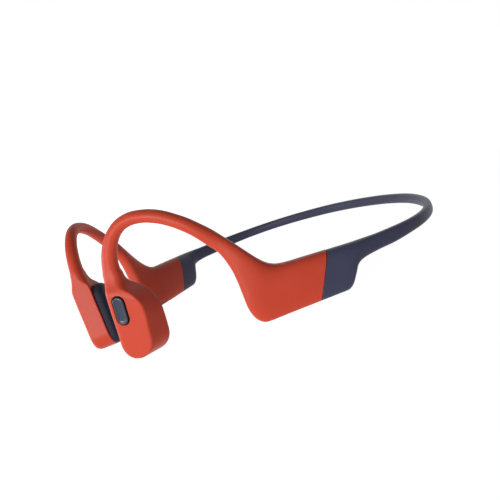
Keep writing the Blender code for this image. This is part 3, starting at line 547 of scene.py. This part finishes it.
def foot_row(q, last):
    """The pod's section at q below the last of POD_ROWS, drawn in to its rounded foot."""
    up = q - POD_FOOT
    taper = (q - last[0]) / (POD_FOOT - last[0])

    def pull(radius):
        return 0.0 if up >= radius else radius - math.sqrt(radius**2 - (radius - up) ** 2)

    front = last[1] + 0.05 * taper + pull(FOOT_FRONT)
    rear = last[2] - 0.1 * taper - pull(FOOT_REAR)
    heights, places = zip(*FOOT_CREASE)
    crease = min(max(float(np.interp(q, heights, places)), front + 0.15), rear - 0.1)
    roll = pull(FOOT_ROLL) / FOOT_ROLL * FOOT_ROLL_DEEP
    return (q, front, rear, crease, last[4] + pull(FOOT_SIDE), last[5] - roll, *last[6:])


def pod_levels():
    """The pod's sections from its top to its foot."""
    rows = list(catmull(POD_ROWS, POD_BETWEEN))
    last = POD_ROWS[-1]
    for k in range(1, FOOT_STEPS + 1):
        angle = math.radians(90 * k / FOOT_STEPS)
        q = last[0] + (POD_FOOT - last[0]) * math.sin(angle)
        rows.append(foot_row(q, last))
    return rows


def underside(side, s):
    """A level frame on the ground under the housing."""
    return Frame(side, s, 0.0, 0.0, 0.0, 0.0)


def key_ways(side):
    """Cutters for the two keys' openings."""
    return [
        plate(f"volume_way_{k}", underside(side, s), VOLUME_KEY, [(-1.0, -GAP), (2.3, -GAP)],
              plane="pn")
        for k, s in enumerate(VOLUME_S)
    ]


def underside_ways(side):
    """What opens the right housing: the port, the keys on their step, and the status light."""
    port = rounded(PORT_LONG, PORT_WIDE, PORT_WIDE / 2 - 0.05)
    ways = [
        plate("port_way", underside(side, PORT_S), port,
              [(-1.0, -0.5), (-0.02, -0.25), (0.25, 0.0), (PORT_DEEP, 0.0)], plane="pn"),
        plate("step_way", underside(side, STEP_S), rounded(STEP_LONG, STEP_WIDE, 0.5),
              [(-1.0, -0.3), (STEP_RISE, 0.0)], at=(-STEP_LONG / 2, 0.0, 0.0), plane="pn"),
    ]
    ways += key_ways(side)
    house = Frame(side, HOUSE_S, 0.0, LEAN_Z, 0.0, LEAN_DEGREES)
    ways.append(
        rod("light_way", house, LIGHT_R + GAP / 2, (2.0, 6.0),
            (LIGHT_S - HOUSE_S, 0.0, LIGHT_Z - LEAN_Z))
    )
    return ways


def orange_skin(side, name):
    """Housing, ear hook and pod shell as one skin; it returns the pod's frame."""
    around = skin_turns()
    rings = []
    for k, row in enumerate(catmull(HOUSING, BETWEEN)):
        share = smooth((k / BETWEEN - ROUND_FROM) / ROUND_OVER)
        rounding = HOUSING_ROUND + (HOOK_ROUND - HOUSING_ROUND) * share
        rings.append(oval_ring(side, row, rounding, around, 0.0))
    place = Frame(side, POD_S, POD_N, POD_Z, POD_FORWARD, POD_INWARD)
    for row in pod_levels():
        rings.append(pod_ring(place, row))
    obj = skin(f"{name}_skin", rings)
    cutters = [rod("mic_way", place, *MIC_WAY, "q")]
    if side > 0:
        cutters.append(
            plate("button_way", place, BUTTON_CAP, BUTTON_WAY_LEVELS, at=(BUTTON_P, 0.0, BUTTON_Q))
        )
    else:
        cutters += underside_ways(side)
    carve(obj, cutters)
    shade(obj, 32)
    paint(obj, ORANGE)
    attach(obj, f"{name}_arm")
    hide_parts(f"{name}_housing_outer", f"{name}_housing_inner", f"{name}_ear_hook",
                f"{name}_pod_shell")
    return place


def bend(piece, side, name):
    """Bakes a piece's transform into its mesh."""
    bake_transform(piece)


def neckband(side, name):
    """Half of the navy sleeve, with the block that it swells into."""
    around = turns(48)
    rows = [r for r in catmull(BAND, BETWEEN) if (r[0] + r[2]) / 2 < RAIL.end - 0.8]
    s_top, z_top, s_low = rows[0][:3]
    rings = [
        oval_ring(side, (s_top - back, z_top - down, s_low - back, low, wide), BAND_ROUND, around,
                  lowest)
        for back, down, low, wide, lowest in SPIGOT
    ]
    rings += [oval_ring(side, row, BAND_ROUND, around, 0.0) for row in rows]
    end = (RAIL.end, BAND_TOP, RAIL.end, BAND_LOW, BAND_WIDE)
    rings.append(oval_ring(side, end, BAND_ROUND, around))
    obj = shade(skin(f"{name}_band_sleeve", rings), 32)
    paint(obj, NAVY)
    bend(obj, side, name)
    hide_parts(f"neckband_{name}", "neckband_rear")


def core_wire(side, name):
    """Half of the titanium wire inside the sleeve."""
    steps = [*WIRE_START, *np.linspace(22.0, RAIL.end, 70)]
    middle = [world(side, s, 0.0, WIRE_Z_BLOCK if s < 30 else WIRE_Z_BAND) for s in steps]
    rings = []
    for i, here in enumerate(middle):
        along = (middle[min(i + 1, len(middle) - 1)] - middle[max(i - 1, 0)]).normalized()
        across = Vector((along.y, -along.x, 0)).normalized()
        up = across.cross(along)
        rings.append([
            here + WIRE_R * (math.cos(angle) * across + math.sin(angle) * up)
            for angle in turns(12)
        ])
    wire = shade(skin(f"{name}_core_wire", rings), 60)
    paint(wire, TITANIUM)
    bend(wire, side, name)
    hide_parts(f"band_wire_{name}", "band_wire_rear")


def pad(name, place):
    """The soft pad on the skin side, crowned and rounded at its edge."""
    levels = [(PAD_TOP - depth, inset) for depth, inset in PAD_LEVELS]
    obj = plate(f"{name}_pad_cover", place, PAD_CORNERS, levels)
    shade(paint(obj, PAD), 40)
    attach(obj, f"{name}_arm")
    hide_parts(f"{name}_pod_pad")


def multifunction(place):
    """The oval cap, and a black liner in the gap round it, as painted shade."""
    obj = plate("multifunction_cap", place, BUTTON_CAP, CAP_LEVELS,
                at=(BUTTON_P, POD_OUT, BUTTON_Q))
    shade(paint(obj, BUTTON), 50)
    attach(obj, "multifunction_button")
    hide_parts("multifunction_button")
    # A black liner lines the gap round the cap and paints the gap's shade.
    gap_shade = plate("button_gap_shade", place, BUTTON_CAP, GAP_SHADE_LEVELS, at=(BUTTON_P, 0.0, BUTTON_Q))
    shade(paint(gap_shade, GAP_SHADE_BLACK), 60)
    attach(gap_shade, "left_arm")


def volume_trim(side):
    """The dark trim that the two keys stand in, on the step in the underside."""
    trim = plate("volume_trim", underside(side, VOLUME_TRIM_S), rounded(*VOLUME_TRIM),
                 [(0.2, 0.3), (0.26, 0.08), (0.4, 0.0), (STEP_RISE + 0.4, 0.0)], plane="pn")
    carve(trim, key_ways(side))
    shade(paint(trim, PAD), 40)
    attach(trim, "right_arm")


def volume_marks(side):
    """A plus and a minus, each raised a little on its key's underside."""
    for s, name in zip(VOLUME_S, ("up", "down")):
        bars = [(1.3, 0.32)] + ([(0.32, 1.3)] if name == "up" else [])
        for k, (long, wide) in enumerate(bars):
            mark = plate(f"volume_{name}_mark_{k}", underside(side, s), rounded(long, wide, 0.14),
                         [(-0.08, 0.05), (0.1, 0.0)], at=(0.0, 0.0, VOLUME_LOW), plane="pn")
            shade(paint(mark, BUTTON), 40)
            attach(mark, f"volume_{name}_button")


for side, name in ((1, "left"), (-1, "right")):
    pod_place = orange_skin(side, name)
    neckband(side, name)
    core_wire(side, name)
    pad(name, pod_place)
    if side > 0:
        multifunction(pod_place)
    else:
        volume_trim(side)
        volume_marks(side)

# What each CAD node is made of, by the first of these words that its name holds.
LOOKS = {
    "board": BOARD, "wire": TITANIUM, "spring": TITANIUM, "frame": STEEL, "plate": STEEL,
    "magnet": NICKEL, "coil": COPPER, "microphone": CAN, "radio": CAN, "cell": FOIL,
    "chip": BLACK_PLASTIC, "port_base": BLACK_PLASTIC, "switch": BLACK_PLASTIC, "contacts": GOLD,
    "light": CLEAR, "button": BUTTON, "neckband": NAVY, "pod_pad": PAD,
}
for node, obj in frame["nodes"].items():
    look = next((material for word, material in LOOKS.items() if word in node), ORANGE)
    for slot in obj.material_slots:
        slot.material = look


# Studio


WORLD_FILL = 0.06
# The floor's white share where the part stands and far off, with the distances that it rises over.
FLOOR_HALF, FLOOR_DROP = 3.0, 5e-5
FLOOR_WHITE, FLOOR_FROM, FLOOR_TO = 0.78, 0.15, 0.6
FLOOR_STRENGTH, FLOOR_GLOW = 1.25, 0.36
# Lamps: (name, place, target, size, watts), in metres.
LAMPS = [
    ("key", (0.38, -1.03, 0.12), (0.0, -0.02, 0.02), (0.7, 0.2), 8.6),
    ("kick", (-0.62, -0.85, 0.10), (0.0, -0.03, 0.02), (0.4, 0.16), 2.2),
    ("rim", (-0.4, 0.8, 0.6), (0.0, 0.0, 0.02), (0.7, 0.5), 0.4),
]
# The photograph's camera: its angles in degrees, and its place in the CAD's millimetres.
AZIMUTH, ELEVATION, ROLL = 63.478, 9.190, -21.288
CAMERA_PLACE, CAMERA_LENS = (270.303, -133.070, 62.624), 57.6


def seen_by(nodes, links, *rays):
    """1 for rays of these kinds and 0 for the rest."""
    path = nodes.new("ShaderNodeLightPath")
    share = path.outputs[rays[0]]
    for ray in rays[1:]:
        either = nodes.new("ShaderNodeMath")
        either.operation = "MAXIMUM"
        links.new(share, either.inputs[0])
        links.new(path.outputs[ray], either.inputs[1])
        share = either.outputs[0]
    return share


def mixed(nodes, links, share, first, second, out):
    mix = nodes.new("ShaderNodeMixShader")
    links.new(share, mix.inputs["Fac"])
    links.new(first.outputs[0], mix.inputs[1])
    links.new(second.outputs[0], mix.inputs[2])
    links.new(mix.outputs[0], out.inputs["Surface"])


def studio():
    """A world that is white to look at and lights the part only faintly."""
    scene = bpy.context.scene
    scene.view_settings.view_transform = "Standard"
    backdrop = bpy.data.worlds.new("studio_world")
    scene.world = backdrop
    backdrop.use_nodes = True
    nodes, links = backdrop.node_tree.nodes, backdrop.node_tree.links
    nodes.clear()
    fill, white = (nodes.new("ShaderNodeBackground") for _ in range(2))
    fill.inputs["Color"].default_value = (1.0, 0.99, 0.98, 1)
    fill.inputs["Strength"].default_value = WORLD_FILL
    white.inputs["Color"].default_value = (1, 1, 1, 1)
    seen = seen_by(nodes, links, "Is Camera Ray", "Is Glossy Ray", "Is Transmission Ray")
    mixed(nodes, links, seen, fill, white, nodes.new("ShaderNodeOutputWorld"))


def floor():
    """A pale floor that keeps the shadow, and whose white share grows with distance."""
    half = FLOOR_HALF
    mesh = bpy.data.meshes.new("studio_floor")
    mesh.from_pydata([(-half, -half, 0), (half, -half, 0), (half, half, 0), (-half, half, 0)], [],
                     [(0, 1, 2, 3)])
    obj = bpy.data.objects.new("studio_floor", mesh)
    bpy.context.scene.collection.objects.link(obj)
    obj.location.z = -FLOOR_DROP
    material = bpy.data.materials.new("pale_floor")
    material.use_nodes = True
    nodes, links = material.node_tree.nodes, material.node_tree.links
    shader = nodes["Principled BSDF"]
    shader.inputs["Base Color"].default_value = (0.86, 0.86, 0.86, 1)
    shader.inputs["Roughness"].default_value = 0.9
    shader.inputs["Specular IOR Level"].default_value = 0.1
    place = nodes.new("ShaderNodeTexCoord")
    away = nodes.new("ShaderNodeVectorMath")
    away.operation = "LENGTH"
    links.new(place.outputs["Object"], away.inputs[0])
    rise = nodes.new("ShaderNodeMapRange")
    rise.inputs["From Min"].default_value = FLOOR_FROM
    rise.inputs["From Max"].default_value = FLOOR_TO
    rise.inputs["To Min"].default_value = FLOOR_WHITE
    links.new(away.outputs["Value"], rise.inputs["Value"])
    share = nodes.new("ShaderNodeMath")
    share.operation = "MULTIPLY"
    links.new(seen_by(nodes, links, "Is Camera Ray", "Is Glossy Ray"), share.inputs[0])
    links.new(rise.outputs["Result"], share.inputs[1])
    glow = nodes.new("ShaderNodeMath")
    glow.operation = "MAXIMUM"
    glow.inputs[1].default_value = FLOOR_GLOW
    links.new(share.outputs[0], glow.inputs[0])
    white = nodes.new("ShaderNodeEmission")
    white.inputs["Strength"].default_value = FLOOR_STRENGTH
    mixed(nodes, links, glow.outputs[0], shader, white, nodes["Material Output"])
    mesh.materials.append(material)


def lamp(name, location, target, size, watts):
    data = bpy.data.lights.new(name, "AREA")
    data.shape = "RECTANGLE"
    data.size, data.size_y = size
    data.energy = watts
    obj = bpy.data.objects.new(name, data)
    bpy.context.scene.collection.objects.link(obj)
    obj.location = location
    aim = Vector(target) - Vector(location)
    obj.rotation_euler = aim.to_track_quat("-Z", "Y").to_euler()


def camera():
    """The photograph's view, with its roll."""
    azimuth, elevation, roll = (math.radians(v) for v in (AZIMUTH, ELEVATION, ROLL))
    back = Vector((
        math.sin(azimuth) * math.cos(elevation), -math.cos(azimuth) * math.cos(elevation),
        math.sin(elevation),
    ))
    right = (-back).cross(Vector((0, 0, 1))).normalized()
    up = right.cross(-back)
    turned_right = math.cos(roll) * right + math.sin(roll) * up
    turned_up = -math.sin(roll) * right + math.cos(roll) * up
    data = bpy.data.cameras.new("photo_camera")
    data.lens = CAMERA_LENS
    data.clip_start = 0.01
    obj = bpy.data.objects.new("photo_camera", data)
    bpy.context.scene.collection.objects.link(obj)
    matrix = Matrix((turned_right, turned_up, back)).transposed().to_4x4()
    matrix.translation = Vector(CAMERA_PLACE) * MM
    obj.matrix_world = matrix
    bpy.context.scene.camera = obj


studio()
floor()
for setting in LAMPS:
    lamp(*setting)
camera()
